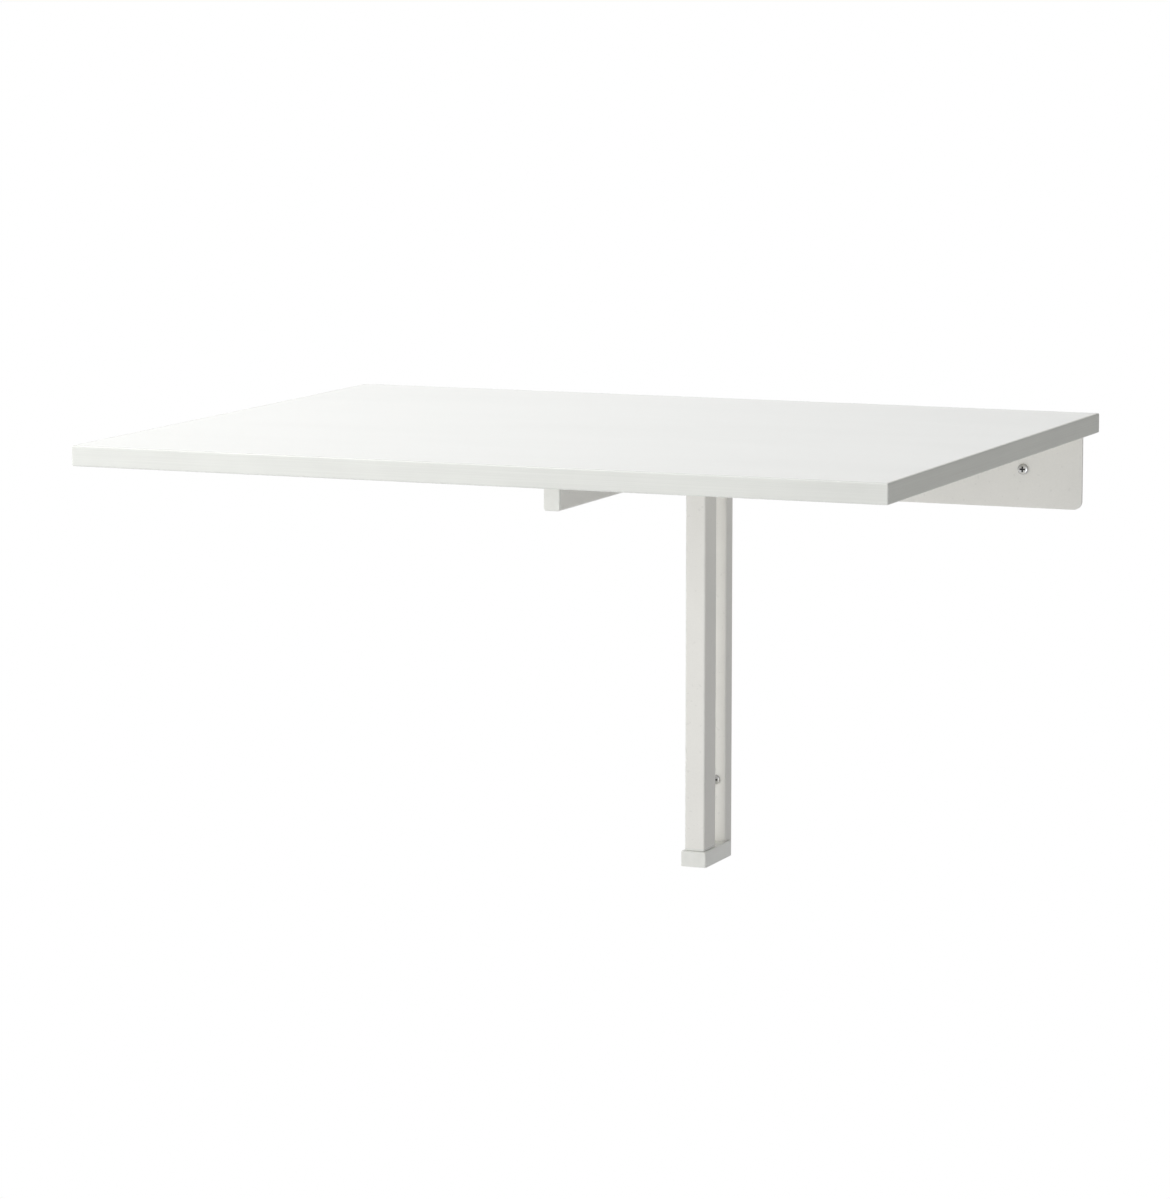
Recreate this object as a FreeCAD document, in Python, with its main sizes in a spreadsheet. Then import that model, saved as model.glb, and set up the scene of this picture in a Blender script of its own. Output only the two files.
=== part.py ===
import FreeCAD, Part
import os
from types import SimpleNamespace

import Sketcher

# Wall mounted drop leaf table
# A steel angle rail is screwed to the wall and carries the leaf on two butt hinges along its shelf's front edge.
# A channel post stands on the wall below the rail. A gate of square tube, an upright with an arm, turns between
# a bush in the shelf and a bearing on the post's foot, and its arm holds the leaf level.
# X runs along the wall to the right, +Y points into the wall and Z is up. The origin is midway between the
# rail's two screws, on the wall. Lengths are in millimetres.

SIZES = {
    # leaf
    "top_width": 740.0,
    "top_depth": 600.0,
    "top_thickness": 18.0,
    "top_level": 55.0,
    "wall_gap": 5.0,
    "edge_band_thickness": 2.0,
    "edge_rounding": 1.5,
    # wall rail
    "rail_length": 706.8,
    "rail_drop": 72.7,
    "rail_sheet": 2.5,
    "rail_bend_radius": 4.0,
    "rail_corner_radius": 8.0,
    "rail_screw_spacing": 594.0,
    "shelf_edge_gap": 1.5,
    # wall screws
    "wall_screw_radius": 2.4,
    "wall_screw_neck_radius": 1.8,
    "rail_screw_reach": 42.0,
    "post_screw_reach": 14.0,
    "wall_screw_head_height": 3.0,
    "wall_screw_tip_length": 5.0,
    "rail_screw_head_radius": 5.0,
    "post_screw_head_radius": 4.6,
    "post_screw_rise": 74.4,
    "wall_screw_clearance": 0.4,
    # hinges
    "hinge_spacing": 440.0,
    "hinge_length": 70.0,
    "hinge_leaf_reach": 28.0,
    "hinge_sheet": 1.5,
    "hinge_barrel_radius": 3.5,
    "hinge_pin_radius": 2.0,
    "hinge_corner_radius": 4.0,
    "hinge_hole_pitch": 22.0,
    "hinge_hole_distance": 18.0,
    "knuckle_gap": 0.4,
    "board_clearance": 0.3,
    "running_clearance": 0.05,
    # screws and rivets of the hinges and the arm rest
    "board_screw_radius": 1.9,
    "board_screw_depth": 12.0,
    "board_screw_head_radius": 3.4,
    "board_screw_head_height": 1.8,
    "rivet_radius": 2.0,
    "rivet_head_radius": 3.2,
    "rivet_head_height": 1.2,
    "fastener_clearance": 0.1,
    # wall post
    "post_width": 20.0,
    "post_depth": 16.0,
    "post_sheet": 1.5,
    "post_bend_radius": 1.8,
    "post_top_gap": 4.0,
    # foot bearing
    "foot_width": 25.0,
    "foot_height": 15.0,
    "foot_drop": 437.9,
    "foot_front_margin": 3.3,
    "foot_floor": 3.0,
    "foot_rib": 3.0,
    "foot_corner_radius": 1.5,
    "foot_rounding": 1.2,
    "post_grip": 10.5,
    "socket_clearance": 0.15,
    # gate
    "gate_distance": 56.7,
    "upright_width": 20.0,
    "upright_depth": 30.0,
    "tube_wall": 1.5,
    "tube_rounding": 2.0,
    "arm_width": 15.0,
    "arm_bottom_drop": 60.7,
    "arm_reach": 420.5,
    "end_cap_thickness": 3.0,
    "end_cap_rounding": 1.0,
    "plug_flange": 2.0,
    "plug_depth": 15.0,
    "plug_clearance": 0.1,
    # pivots
    "pivot_radius": 4.0,
    "pivot_chamfer": 0.6,
    "pivot_engagement": 10.0,
    "pivot_stand": 1.0,
    "pivot_play": 0.5,
    "bush_wall": 2.0,
    "bush_flange": 2.0,
    "bush_flange_radius": 9.0,
    "thrust_washer": 1.0,
    "washer_recess": 0.9,
    "thrust_clearance": 0.1,
    "leaf_clearance": 2.5,
    # glide on the arm and its rest under the leaf
    "glide_width": 11.0,
    "glide_length": 60.0,
    "glide_setback": 8.0,
    "glide_clearance": 0.5,
    "glide_peg_radius": 2.5,
    "glide_peg_pitch": 40.0,
    "rest_clearance": 0.3,
    "rest_margin": 7.0,
    "rest_free_width": 13.0,
    "rest_rounding": 1.0,
    "rest_screw_pitch": 54.0,
    "lip_clearance": 0.5,
    "lip_thickness": 4.0,
    "lip_drop": 2.7,
}


class Formula:
    """A size worked out from the sheet: the expression that binds it, and its value."""

    def __init__(self, text, value):
        self.text = text
        self.value = value

    def __add__(self, other):
        other = formula(other)
        return Formula(f"({self.text} + {other.text})", self.value + other.value)

    def __radd__(self, other):
        return formula(other) + self

    def __sub__(self, other):
        other = formula(other)
        return Formula(f"({self.text} - {other.text})", self.value - other.value)

    def __rsub__(self, other):
        return formula(other) - self

    def __mul__(self, other):
        other = formula(other)
        return Formula(f"({self.text} * {other.text})", self.value * other.value)

    def __rmul__(self, other):
        return formula(other) * self

    def __truediv__(self, other):
        other = formula(other)
        return Formula(f"({self.text} / {other.text})", self.value / other.value)

    def __neg__(self):
        return formula(-1) * self


def formula(size):
    """A formula of a plain number, or the formula itself."""
    if isinstance(size, Formula):
        return size
    return Formula(f"({float(size)})", float(size))


doc = FreeCAD.newDocument("drop_leaf_table")
sheet = doc.addObject("Spreadsheet::Sheet", "Sizes")
for row, (size_name, number) in enumerate(SIZES.items(), 1):
    sheet.set(f"A{row}", size_name)
    sheet.set(f"B{row}", str(number))
    sheet.setAlias(f"B{row}", size_name)
doc.recompute()
S = SimpleNamespace(**{name: Formula(f"Sizes.{name}", number) for name, number in SIZES.items()})

# Levels above the origin and distances from the wall that several pieces share
underside = S.top_level - S.top_thickness
foot_front = S.gate_distance + S.upright_depth / 2 + S.foot_front_margin
hinge_distance = foot_front + S.leaf_clearance - S.hinge_barrel_radius
hinge_level = underside - S.hinge_barrel_radius - S.board_clearance
shelf_bottom = hinge_level - S.hinge_barrel_radius + S.hinge_sheet
shelf_top = shelf_bottom + S.rail_sheet
shelf_front = hinge_distance - S.hinge_barrel_radius - S.shelf_edge_gap
rail_bottom = underside - S.rail_drop
foot_bottom = S.top_level - S.foot_drop
foot_top = foot_bottom + S.foot_height
upright_top = shelf_bottom - S.bush_flange - S.pivot_play - S.plug_flange
washer_bottom = foot_top - S.washer_recess
upright_bottom = washer_bottom + S.thrust_washer + S.thrust_clearance + S.plug_flange
arm_bottom = S.top_level - S.arm_bottom_drop
arm_height = upright_top - arm_bottom
arm_root = S.gate_distance + S.upright_depth / 2
glide_top = shelf_bottom - S.glide_clearance
glide_far_end = S.arm_reach - S.glide_setback
glide_middle = glide_far_end - S.glide_length / 2
rest_bottom = glide_top + S.rest_clearance
bush_bore_radius = S.pivot_radius + S.running_clearance
bush_outer_radius = bush_bore_radius + S.bush_wall
bush_seat_radius = bush_outer_radius + S.fastener_clearance
pilot_radius = S.board_screw_radius + S.fastener_clearance
hinge_centres = [-S.hinge_spacing / 2, S.hinge_spacing / 2]
hinge_holes = [-S.hinge_hole_pitch, formula(0), S.hinge_hole_pitch]

ALONG_X = FreeCAD.Rotation(FreeCAD.Vector(0, 1, 0), 90)
INTO_WALL = FreeCAD.Rotation(FreeCAD.Vector(1, 0, 0), -90)
UPRIGHT = FreeCAD.Rotation()
UPSIDE_DOWN = FreeCAD.Rotation(FreeCAD.Vector(1, 0, 0), 180)
X_AXIS = FreeCAD.Vector(1, 0, 0)
Y_AXIS = FreeCAD.Vector(0, 1, 0)
Z_AXIS = FreeCAD.Vector(0, 0, 1)
NEAR = 1e-4

nodes = []


def bind(item, path, size):
    """Bind one property of an object to a formula."""
    item.setExpression(path, formula(size).text)


def new_body(label, x=0, y=0, z=0, turn=UPRIGHT):
    """An empty body whose place is bound to formulas."""
    body = doc.addObject("PartDesign::Body", label)
    body.Label = label
    body.Placement = FreeCAD.Placement(FreeCAD.Vector(), turn)
    for letter, size in zip("xyz", (x, y, z)):
        bind(body, f"Placement.Base.{letter}", size)
    return body


def new_node(label, x=0, y=0, z=0, turn=UPRIGHT):
    """A body that is a piece of its own."""
    body = new_body(label, x, y, z, turn)
    nodes.append(body)
    return body


def sketch(body, role, level=0):
    """A sketch on one of the body's own planes, raised along the plane's normal.

    XY sketches face up, XZ sketches face away from the wall and YZ sketches face right.
    """
    plane = next(item for item in body.Origin.OriginFeatures if item.Role == role)
    drawing = body.newObject("Sketcher::SketchObject", f"{body.Label}_sketch")
    drawing.AttachmentSupport = (plane, [""])
    drawing.MapMode = "FlatFace"
    bind(drawing, "AttachmentOffset.Base.z", level)
    return drawing


def pin_point(drawing, piece, end, x, y):
    """Fix one point of a sketch's geometry to formulas."""
    for kind, size in (("DistanceX", formula(x)), ("DistanceY", formula(y))):
        index = drawing.addConstraint(Sketcher.Constraint(kind, -1, 1, piece, end, size.value))
        bind(drawing, f"Constraints[{index}]", size)


def polygon(drawing, points):
    """A closed outline through the given points."""
    points = [(formula(x), formula(y)) for x, y in points]
    spots = [FreeCAD.Vector(x.value, y.value, 0) for x, y in points]
    first = drawing.GeometryCount
    for start, end in zip(spots, spots[1:] + spots[:1]):
        drawing.addGeometry(Part.LineSegment(start, end), False)
    for index, (x, y) in enumerate(points):
        after = first + (index + 1) % len(points)
        drawing.addConstraint(Sketcher.Constraint("Coincident", first + index, 2, after, 1))
        pin_point(drawing, first + index, 1, x, y)


def rectangle(drawing, low_x, high_x, low_y, high_y):
    """A rectangle between two pairs of limits."""
    polygon(drawing, [(low_x, low_y), (high_x, low_y), (high_x, high_y), (low_x, high_y)])


def circle(drawing, x, y, radius):
    """A circle about a point."""
    x, y, radius = formula(x), formula(y), formula(radius)
    middle = FreeCAD.Vector(x.value, y.value, 0)
    piece = drawing.addGeometry(Part.Circle(middle, Z_AXIS, radius.value), False)
    pin_point(drawing, piece, 3, x, y)
    index = drawing.addConstraint(Sketcher.Constraint("Radius", piece, radius.value))
    bind(drawing, f"Constraints[{index}]", radius)


def pad(body, drawing, length, both_ways=False):
    """Raise a sketch into material along its normal."""
    feature = body.newObject("PartDesign::Pad", f"{body.Label}_pad")
    feature.Profile = drawing
    bind(feature, "Length", length)
    if both_ways:
        feature.SideType = "Symmetric"
    doc.recompute()
    return feature


def pocket(body, drawing, depth=None, along_normal=False):
    """Cut a sketch out of the body, right through or to a depth against its normal."""
    before = body.Shape.Volume
    feature = body.newObject("PartDesign::Pocket", f"{body.Label}_pocket")
    feature.Profile = drawing
    if depth is None:
        feature.Type = "ThroughAll"
        feature.SideType = "Symmetric"
    else:
        bind(feature, "Length", depth)
        feature.Reversed = along_normal
    doc.recompute()
    if body.Shape.Volume > before - NEAR:
        raise ValueError(f"a pocket of {body.Label} cuts nothing")
    return feature


def soften(body, feature, radius, wanted):
    """Round the edges of a feature that the test picks out."""
    names = [f"Edge{n}" for n, edge in enumerate(feature.Shape.Edges, 1) if wanted(edge)]
    if not names:
        raise ValueError(f"no edge of {body.Label} to round")
    rounding = body.newObject("PartDesign::Fillet", f"{body.Label}_rounding")
    rounding.Base = (feature, names)
    bind(rounding, "Radius", radius)
    doc.recompute()
    return rounding


def runs_along(edge, axis):
    """Whether an edge is straight and parallel to an axis."""
    if not isinstance(edge.Curve, Part.Line):
        return False
    return abs(edge.Curve.Direction.dot(axis)) > 1 - NEAR


def lies_at(edge, axis, *sizes):
    """Whether an edge's middle is at one of the given places along an axis."""
    place = edge.CenterOfMass.dot(axis)
    return any(abs(place - formula(size).value) < NEAR for size in sizes)


def turned(label, profile, x, y, z, turn=UPRIGHT, node=True):
    """A turned piece: a profile of radii and heights revolved about its own axis."""
    make = new_node if node else new_body
    body = make(label, x, y, z, turn)
    drawing = sketch(body, "XZ_Plane")
    polygon(drawing, profile)
    feature = body.newObject("PartDesign::Revolution", f"{label}_turning")
    feature.Profile = drawing
    feature.ReferenceAxis = (drawing, ["V_Axis"])
    feature.Angle = 360
    doc.recompute()
    return body


def group(label, pieces):
    """One node of several like pieces."""
    compound = doc.addObject("Part::Compound", label)
    compound.Label = label
    compound.Links = pieces
    doc.recompute()
    nodes.append(compound)


def pan_head(radius, height):
    """The profile of a pan head below a screw's seat, from its rim to its axis."""
    return [(radius, 0), (radius, -height / 2), (radius - height / 3, -height), (0, -height)]


def wall_screw(label, x, seat, z, head_radius, reach):
    """A screw driven into the wall, with its head's seat at a distance from the wall and its thread behind it."""
    length = seat + reach
    profile = [
        (0, length),
        (S.wall_screw_radius / 4, length),
        (S.wall_screw_radius, length - S.wall_screw_tip_length),
        (S.wall_screw_radius, seat),
        (S.wall_screw_neck_radius, seat),
        (S.wall_screw_neck_radius, 0),
    ]
    profile += pan_head(head_radius, S.wall_screw_head_height)
    return turned(label, profile, x, -seat, z, INTO_WALL, node=False)


def board_screw(label, x, y, z):
    """A screw driven up into the board from below, with its head's seat at the given place."""
    length = underside + S.board_screw_depth - z
    profile = [
        (0, length),
        (S.board_screw_radius / 4, length),
        (S.board_screw_radius, length - S.board_screw_radius),
        (S.board_screw_radius, 0),
    ]
    profile += pan_head(S.board_screw_head_radius, S.board_screw_head_height)
    return turned(label, profile, x, y, z, node=False)


def box_tube(body, role, level, low, high, length):
    """A rounded rectangular tube along a plane's normal, centred on x, between two heights of its section."""
    half = high[0]
    drawing = sketch(body, role, level)
    rectangle(drawing, low[0], half, low[1], high[1])
    outer = pad(body, drawing, length)
    along = Z_AXIS if role == "XY_Plane" else Y_AXIS
    outer = soften(body, outer, S.tube_rounding, lambda edge: runs_along(edge, along))
    drawing = sketch(body, role, level)
    inner_x = half - S.tube_wall
    inner_y = low[1] + S.tube_wall, high[1] - S.tube_wall
    rectangle(drawing, -inner_x, inner_x, *inner_y)
    bore = pocket(body, drawing)

    def is_bore_corner(edge):
        return runs_along(edge, along) and lies_at(edge, X_AXIS, -inner_x, inner_x)

    soften(body, bore, S.tube_rounding - S.tube_wall, is_bore_corner)


def tube_plug(label, x, y, z, turn):
    """A plug for the upright's end, with its flange against the tube at its origin and a bored core."""
    body = new_node(label, x, y, z, turn)
    drawing = sketch(body, "XY_Plane")
    half_width, half_depth = S.upright_width / 2, S.upright_depth / 2
    rectangle(drawing, -half_width, half_width, -half_depth, half_depth)
    flange = pad(body, drawing, S.plug_flange)
    soften(body, flange, S.tube_rounding, lambda edge: runs_along(edge, Z_AXIS))
    inset = S.tube_wall + S.plug_clearance
    drawing = sketch(body, "XY_Plane", -S.plug_depth)
    half_width, half_depth = half_width - inset, half_depth - inset
    rectangle(drawing, -half_width, half_width, -half_depth, half_depth)
    core = pad(body, drawing, S.plug_depth)

    def is_core_corner(edge):
        return runs_along(edge, Z_AXIS) and lies_at(edge, Z_AXIS, -S.plug_depth / 2)

    soften(body, core, S.tube_rounding - S.tube_wall, is_core_corner)
    drawing = sketch(body, "XY_Plane")
    circle(drawing, 0, 0, S.pivot_radius + S.fastener_clearance)
    pocket(body, drawing)


def pivot_pin(label, low, high):
    """A pivot pin on the gate's axis between two levels."""
    length = high - low
    end_radius = S.pivot_radius - S.pivot_chamfer
    profile = [
        (0, 0),
        (end_radius, 0),
        (S.pivot_radius, S.pivot_chamfer),
        (S.pivot_radius, length - S.pivot_chamfer),
        (end_radius, length),
        (0, length),
    ]
    turned(label, profile, 0, -S.gate_distance, low)


def edge_band(label, low_x, high_x, low_y, high_y, outward):
    """A band on one edge of the board, rounded on the sides that face out of the leaf."""
    body = new_node(label, 0, 0, underside)
    drawing = sketch(body, "XY_Plane")
    rectangle(drawing, low_x, high_x, low_y, high_y)
    block = pad(body, drawing, S.top_thickness)
    soften(body, block, S.edge_rounding, outward)


# Leaf
half_top = S.top_width / 2
leaf_back = -S.wall_gap
leaf_front = leaf_back - S.top_depth
board_half = half_top - S.edge_band_thickness
board_back = leaf_back - S.edge_band_thickness
board_front = leaf_front + S.edge_band_thickness

board = new_node("table_board", 0, 0, underside)
outline = sketch(board, "XY_Plane")
rectangle(outline, -board_half, board_half, board_front, board_back)
pad(board, outline, S.top_thickness)
pilots = sketch(board, "XY_Plane")
for centre in hinge_centres:
    for offset in hinge_holes:
        circle(pilots, centre + offset, -hinge_distance - S.hinge_hole_distance, pilot_radius)
for end in (-1, 1):
    circle(pilots, 0, -glide_middle + end * S.rest_screw_pitch / 2, pilot_radius)
pocket(board, pilots, S.board_screw_depth + S.fastener_clearance, along_normal=True)


def is_level(edge):
    """Whether an edge is on the leaf's upper or lower face."""
    return lies_at(edge, Z_AXIS, 0, S.top_thickness)


def faces_front(edge):
    """Whether an edge of a full width band shows at the leaf's front or ends."""
    if lies_at(edge, Y_AXIS, leaf_front):
        return True
    return runs_along(edge, Y_AXIS) and is_level(edge)


def faces_wall(edge):
    """Whether an edge of a full width band shows at the leaf's back or ends."""
    if lies_at(edge, Y_AXIS, leaf_back):
        return True
    return runs_along(edge, Y_AXIS) and is_level(edge)


edge_band("front_edge_band", -half_top, half_top, leaf_front, board_front, faces_front)
edge_band("rear_edge_band", -half_top, half_top, board_back, leaf_back, faces_wall)
edge_band(
    "left_edge_band", -half_top, -board_half, board_front, board_back,
    lambda edge: lies_at(edge, X_AXIS, -half_top) and is_level(edge),
)
edge_band(
    "right_edge_band", board_half, half_top, board_front, board_back,
    lambda edge: lies_at(edge, X_AXIS, half_top) and is_level(edge),
)

# Wall rail: an angle of bent sheet, its plate on the wall and its shelf under the leaf
half_rail = S.rail_length / 2
rail = new_node("wall_rail")
section = sketch(rail, "YZ_Plane")
polygon(section, [
    (0, rail_bottom),
    (0, shelf_top),
    (-shelf_front, shelf_top),
    (-shelf_front, shelf_bottom),
    (-S.rail_sheet, shelf_bottom),
    (-S.rail_sheet, rail_bottom),
])
angle = pad(rail, section, S.rail_length, both_ways=True)


def is_outer_bend(edge):
    return runs_along(edge, X_AXIS) and lies_at(edge, Y_AXIS, 0) and lies_at(edge, Z_AXIS, shelf_top)


def is_inner_bend(edge):
    at_plate = lies_at(edge, Y_AXIS, -S.rail_sheet)
    return runs_along(edge, X_AXIS) and at_plate and lies_at(edge, Z_AXIS, shelf_bottom)


def is_free_corner(edge):
    if not lies_at(edge, X_AXIS, -half_rail, half_rail):
        return False
    plate_corner = runs_along(edge, Y_AXIS) and lies_at(edge, Z_AXIS, rail_bottom)
    shelf_corner = runs_along(edge, Z_AXIS) and lies_at(edge, Y_AXIS, -shelf_front)
    return plate_corner or shelf_corner


angle = soften(rail, angle, S.rail_bend_radius, is_outer_bend)
angle = soften(rail, angle, S.rail_bend_radius - S.rail_sheet, is_inner_bend)
soften(rail, angle, S.rail_corner_radius, is_free_corner)

screw_holes = sketch(rail, "XZ_Plane")
for end in (-1, 1):
    circle(screw_holes, end * S.rail_screw_spacing / 2, 0, S.wall_screw_radius + S.wall_screw_clearance)
pocket(rail, screw_holes)
shelf_holes = sketch(rail, "XY_Plane")
circle(shelf_holes, 0, -S.gate_distance, bush_seat_radius)
for centre in hinge_centres:
    for offset in hinge_holes:
        rivet_y = -hinge_distance + S.hinge_hole_distance
        circle(shelf_holes, centre + offset, rivet_y, S.rivet_radius + S.fastener_clearance)
pocket(rail, shelf_holes)

# Wall post: a channel open to the wall, stepped at its top to lie over the rail's plate
half_post = S.post_width / 2
post_bottom = foot_bottom + S.foot_floor
post_top = shelf_bottom - S.post_top_gap
post_screw_level = foot_bottom + S.post_screw_rise
post = new_node("wall_post", 0, 0, post_bottom)
section = sketch(post, "XY_Plane")
inner_half = half_post - S.post_sheet
inner_front = S.post_sheet - S.post_depth
polygon(section, [
    (-half_post, 0),
    (-half_post, -S.post_depth),
    (half_post, -S.post_depth),
    (half_post, 0),
    (inner_half, 0),
    (inner_half, inner_front),
    (-inner_half, inner_front),
    (-inner_half, 0),
])
channel = pad(post, section, post_top - post_bottom)
channel = soften(
    post, channel, S.post_bend_radius,
    lambda edge: runs_along(edge, Z_AXIS) and lies_at(edge, Y_AXIS, -S.post_depth),
)
soften(
    post, channel, S.post_bend_radius - S.post_sheet,
    lambda edge: runs_along(edge, Z_AXIS) and lies_at(edge, Y_AXIS, inner_front),
)
step = sketch(post, "YZ_Plane")
rectangle(step, -S.rail_sheet, 0, rail_bottom - post_bottom, post_top - post_bottom)
pocket(post, step)
hole = sketch(post, "XZ_Plane")
circle(hole, 0, post_screw_level - post_bottom, S.wall_screw_radius + S.wall_screw_clearance)
pocket(post, hole)

# Wall screws
rail_screws = []
for number, end in enumerate((-1, 1), 1):
    screw_x = end * S.rail_screw_spacing / 2
    rail_screws.append(wall_screw(
        f"rail_screw_{number}", screw_x, S.rail_sheet, 0, S.rail_screw_head_radius, S.rail_screw_reach,
    ))
group("rail_wall_screws", rail_screws)
post_screw = wall_screw(
    "post_screw", 0, S.post_depth, post_screw_level, S.post_screw_head_radius, S.post_screw_reach,
)
group("post_wall_screw", [post_screw])

# Foot bearing: a moulded block that plugs onto the post's lower end and carries the gate's lower bush
half_foot = S.foot_width / 2
foot_back = S.post_depth - S.post_grip
foot = new_node("foot_bearing", 0, 0, foot_bottom)
outline = sketch(foot, "XY_Plane")
rectangle(outline, -half_foot, half_foot, -foot_front, -foot_back)
block = pad(foot, outline, S.foot_height)
block = soften(foot, block, S.foot_corner_radius, lambda edge: runs_along(edge, Z_AXIS))
soften(foot, block, S.foot_rounding, lambda edge: lies_at(edge, Z_AXIS, S.foot_height))
socket = sketch(foot, "XY_Plane", S.foot_height)
slot_half = half_post + S.socket_clearance
tongue_half = inner_half - S.socket_clearance
slot_front = -S.post_depth - S.socket_clearance
tongue_front = inner_front + S.socket_clearance
polygon(socket, [
    (-slot_half, -foot_back),
    (-slot_half, slot_front),
    (slot_half, slot_front),
    (slot_half, -foot_back),
    (tongue_half, -foot_back),
    (tongue_half, tongue_front),
    (-tongue_half, tongue_front),
    (-tongue_half, -foot_back),
])
pocket(foot, socket, S.foot_height - S.foot_floor)
bush_seat = sketch(foot, "XY_Plane", S.foot_height)
circle(bush_seat, 0, -S.gate_distance, bush_seat_radius)
pocket(foot, bush_seat, S.foot_height - S.foot_floor)
washer_seat = sketch(foot, "XY_Plane", S.foot_height)
circle(washer_seat, 0, -S.gate_distance, S.bush_flange_radius + S.fastener_clearance)
pocket(foot, washer_seat, S.washer_recess)
core = sketch(foot, "XY_Plane")
core_half = half_foot - S.foot_rib
core_back = slot_front - S.foot_rib
core_front = -S.gate_distance + bush_seat_radius + S.foot_rib
rectangle(core, -core_half, core_half, core_front, core_back)
pocket(foot, core, S.foot_height - S.foot_floor, along_normal=True)

# Pivots
foot_bush_length = S.foot_height - S.foot_floor - S.washer_recess
turned("foot_bush", [
    (bush_bore_radius, 0),
    (bush_outer_radius, 0),
    (bush_outer_radius, foot_bush_length),
    (bush_bore_radius, foot_bush_length),
], 0, -S.gate_distance, foot_bottom + S.foot_floor)
turned("thrust_washer_ring", [
    (bush_bore_radius, 0),
    (S.bush_flange_radius, 0),
    (S.bush_flange_radius, S.thrust_washer),
    (bush_bore_radius, S.thrust_washer),
], 0, -S.gate_distance, washer_bottom)
turned("shelf_bush", [
    (bush_bore_radius, 0),
    (S.bush_flange_radius, 0),
    (S.bush_flange_radius, S.bush_flange),
    (bush_outer_radius, S.bush_flange),
    (bush_outer_radius, S.bush_flange + S.rail_sheet),
    (bush_bore_radius, S.bush_flange + S.rail_sheet),
], 0, -S.gate_distance, shelf_bottom - S.bush_flange)

# Hinges: each has knuckles of its shelf leaf and its board leaf by turns along one pin
KNUCKLES = 5
knuckle_length = S.hinge_length / KNUCKLES


def hinge_leaf(label, centre, own, side, sheet_bottom):
    """One leaf of a hinge about its own pin.

    own lists the leaf's knuckles by number, side is 1 towards the wall and -1 away from it, and sheet_bottom
    is the height of the sheet's lower face about the pin.
    """
    body = new_node(label, centre, -hinge_distance, hinge_level)
    start = -S.hinge_length / 2
    clear = side * (S.hinge_barrel_radius + S.knuckle_gap)
    far = side * S.hinge_leaf_reach
    points = [(start, far), (start, clear)]
    for number in own:
        left = start + number * knuckle_length + S.knuckle_gap / 2
        right = left + knuckle_length - S.knuckle_gap
        points += [(left, clear), (left, 0), (right, 0), (right, clear)]
    points += [(-start, clear), (-start, far)]
    drawing = sketch(body, "XY_Plane", sheet_bottom)
    polygon(drawing, points)
    plate = pad(body, drawing, S.hinge_sheet)
    soften(body, plate, S.hinge_corner_radius, lambda edge: runs_along(edge, Z_AXIS) and lies_at(edge, Y_AXIS, far))
    for number in own:
        left = start + number * knuckle_length + S.knuckle_gap / 2
        drawing = sketch(body, "YZ_Plane", left)
        circle(drawing, 0, 0, S.hinge_barrel_radius)
        pad(body, drawing, knuckle_length - S.knuckle_gap)
    drawing = sketch(body, "YZ_Plane")
    circle(drawing, 0, 0, S.hinge_pin_radius + S.running_clearance)
    pocket(body, drawing)
    drawing = sketch(body, "XY_Plane")
    for offset in hinge_holes:
        circle(drawing, offset, side * S.hinge_hole_distance, S.rivet_radius + S.fastener_clearance)
    pocket(body, drawing)


rivets = []
hinge_screws = []
sheet_above_pin = S.hinge_barrel_radius + S.board_clearance - S.hinge_sheet
shelf_knuckles = range(0, KNUCKLES, 2)
board_knuckles = range(1, KNUCKLES, 2)
for side_name, centre in zip(("left", "right"), hinge_centres):
    hinge_leaf(f"{side_name}_hinge_shelf_leaf", centre, shelf_knuckles, 1, -S.hinge_barrel_radius)
    hinge_leaf(f"{side_name}_hinge_board_leaf", centre, board_knuckles, -1, sheet_above_pin)
    turned(f"{side_name}_hinge_pin", [
        (0, 0),
        (S.hinge_pin_radius, 0),
        (S.hinge_pin_radius, S.hinge_length),
        (0, S.hinge_length),
    ], centre - S.hinge_length / 2, -hinge_distance, hinge_level, ALONG_X)
    for number, offset in enumerate(hinge_holes, 1):
        grip = S.hinge_sheet + S.rail_sheet
        rivets.append(turned(f"{side_name}_rivet_{number}", [
            (0, -S.rivet_head_height),
            (S.rivet_head_radius - S.rivet_head_height / 2, -S.rivet_head_height),
            (S.rivet_head_radius, 0),
            (S.rivet_radius, 0),
            (S.rivet_radius, grip),
            (S.rivet_head_radius, grip),
            (S.rivet_head_radius - S.rivet_head_height / 2, grip + S.rivet_head_height),
            (0, grip + S.rivet_head_height),
        ], centre + offset, -hinge_distance + S.hinge_hole_distance, shelf_bottom - S.hinge_sheet, node=False))
        hinge_screws.append(board_screw(
            f"{side_name}_hinge_screw_{number}", centre + offset,
            -hinge_distance - S.hinge_hole_distance, underside - S.hinge_sheet,
        ))
group("hinge_rivets", rivets)
group("hinge_screws", hinge_screws)

# Gate: an upright tube on the pivots, and an arm of flatter tube welded to its face
half_upright = S.upright_width / 2
upright = new_node("gate_upright", 0, -S.gate_distance, upright_bottom)
box_tube(
    upright, "XY_Plane", 0,
    (-half_upright, -S.upright_depth / 2), (half_upright, S.upright_depth / 2),
    upright_top - upright_bottom,
)
tube_plug("upper_pivot_plug", 0, -S.gate_distance, upright_top, UPRIGHT)
tube_plug("lower_pivot_plug", 0, -S.gate_distance, upright_bottom, UPSIDE_DOWN)
pivot_pin("upper_pivot_pin", upright_top - S.plug_depth, shelf_top + S.pivot_stand)
pivot_pin("lower_pivot_pin", foot_top - S.pivot_engagement, upright_bottom + S.plug_depth)

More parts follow.
